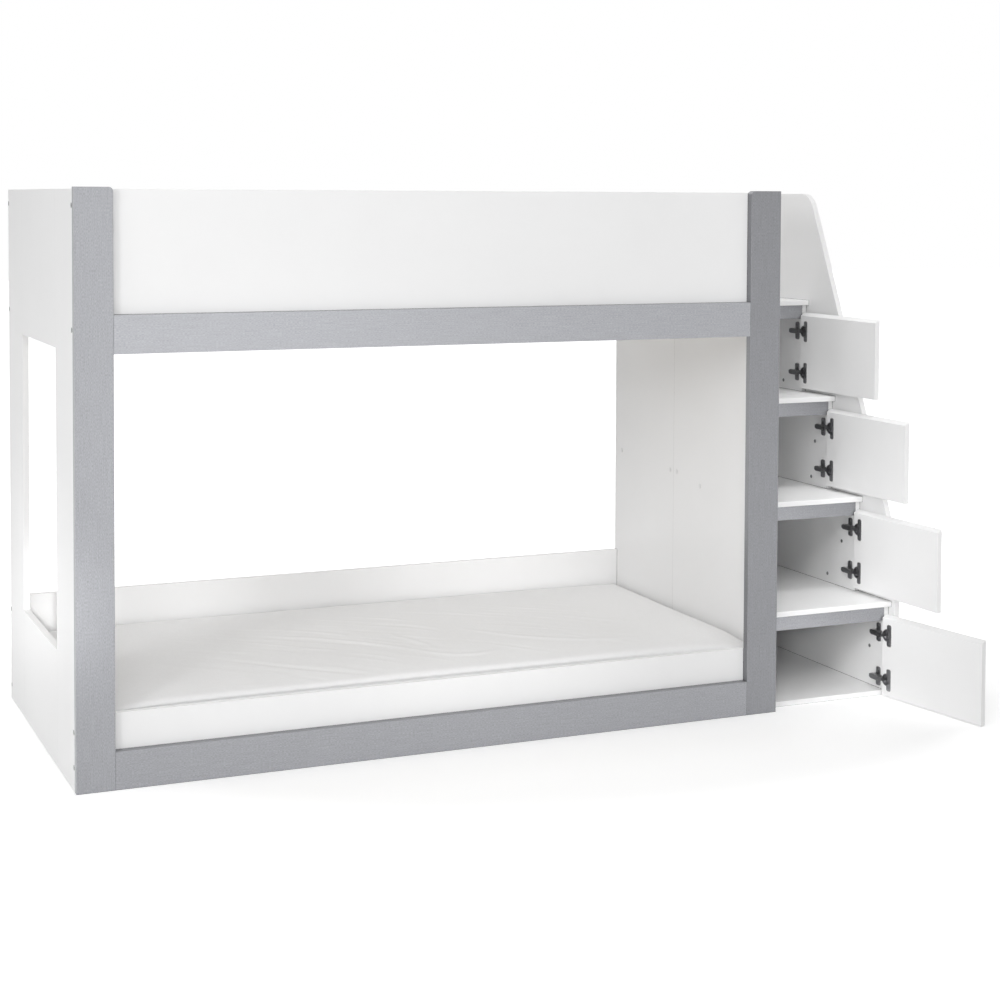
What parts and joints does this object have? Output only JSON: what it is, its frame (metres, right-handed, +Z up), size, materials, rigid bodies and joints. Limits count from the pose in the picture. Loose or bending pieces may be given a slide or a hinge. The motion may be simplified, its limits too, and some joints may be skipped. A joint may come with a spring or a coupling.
{
  "type": "bunk bed with storage staircase",
  "caption": "Bunk bed with a grey front frame and white panels, a mattress on the lower bunk and a side staircase whose steps are cabinets with hinged doors.",
  "frame": {"origin": "bottom centre of the bounding box, on the floor, with the doors open as they rest", "axes": "+X along the bed from its left end to the staircase, +Y from front to rear, +Z up"},
  "size_m": [2.5422, 1.3962, 1.545],
  "materials": {
    "grey_laminate": "chipboard with a brushed grey laminate",
    "white_laminate": "chipboard with a satin white laminate",
    "plain_wood": "planed softwood",
    "mattress_cover": "pale cotton sheet over foam",
    "dark_nickel": "dark nickel plate",
    "zinc_steel": "zinc plate",
    "white_caps": "white lacquer"
  },
  "bodies": {
    "bed": {"left_front_post": "grey_laminate", "right_front_post": "grey_laminate", "upper_front_rail": "grey_laminate", "lower_front_rail": "grey_laminate", "front_guard_panel": "white_laminate", "rear_guard_panel": "white_laminate", "lower_front_board": "white_laminate", "rear_lower_panel": "white_laminate", "left_end_front_post": "white_laminate", "left_end_rear_post": "white_laminate", "left_end_upper_panel": "white_laminate", "left_end_lower_panel": "white_laminate", "right_end_front_panel": "white_laminate", "right_end_rear_panel": "white_laminate", "cleat_screws": "zinc_steel", "slat_screws": "zinc_steel", "slat_cleats": "plain_wood", "upper_slats": "plain_wood", "lower_slats": "plain_wood", "mattress": "mattress_cover", "stair_side_panel": "white_laminate", "stair_base_board": "white_laminate", "stair_back_panel": "white_laminate", "tread_1": "white_laminate", "left_wall_1": "white_laminate", "right_wall_1": "white_laminate", "fascia_1": "grey_laminate", "tread_2": "white_laminate", "left_wall_2": "white_laminate", "right_wall_2": "white_laminate", "fascia_2": "grey_laminate", "tread_3": "white_laminate", "left_wall_3": "white_laminate", "right_wall_3": "white_laminate", "fascia_3": "grey_laminate", "tread_4": "white_laminate", "left_wall_4": "white_laminate", "right_wall_4": "white_laminate", "fascia_4": "grey_laminate", "end_bolts": "dark_nickel", "barrel_nuts": "zinc_steel", "joint_dowels": "plain_wood", "frame_screws": "zinc_steel", "stair_dowels": "plain_wood", "stair_bolts": "white_caps", "side_panel_bolts": "dark_nickel", "hinge_arms": "dark_nickel", "hinge_plate_screws": "dark_nickel", "hinge_plates": "dark_nickel", "hinge_pins": "dark_nickel"},
    "door_leaf_1": {"door_1": "white_laminate", "hinge_cups_1": "dark_nickel"},
    "door_leaf_2": {"door_2": "white_laminate", "hinge_cups_2": "dark_nickel"},
    "door_leaf_3": {"door_3": "white_laminate", "hinge_cups_3": "dark_nickel"},
    "door_leaf_4": {"door_4": "white_laminate", "hinge_cups_4": "dark_nickel"}
  },
  "joints": [
    {"name": "door_1_hinge", "type": "hinge", "parent": "bed", "child": "door_leaf_1", "pos_m": [1.20341, 0.18406, 1.022], "axis": [0, 0, 1], "range_deg": [-91.47, 0.09]},
    {"name": "door_2_hinge", "type": "hinge", "parent": "bed", "child": "door_leaf_2", "pos_m": [1.20341, 0.02306, 0.722], "axis": [0, 0, 1], "range_deg": [-91.6, 0.1]},
    {"name": "door_3_hinge", "type": "hinge", "parent": "bed", "child": "door_leaf_3", "pos_m": [1.20341, -0.13794, 0.422], "axis": [0, 0, 1], "range_deg": [-92.39, 0.15]},
    {"name": "door_4_hinge", "type": "hinge", "parent": "bed", "child": "door_leaf_4", "pos_m": [1.20341, -0.29894, 0.1215], "axis": [0, 0, 1], "range_deg": [-98.7, 2]}
  ]
}
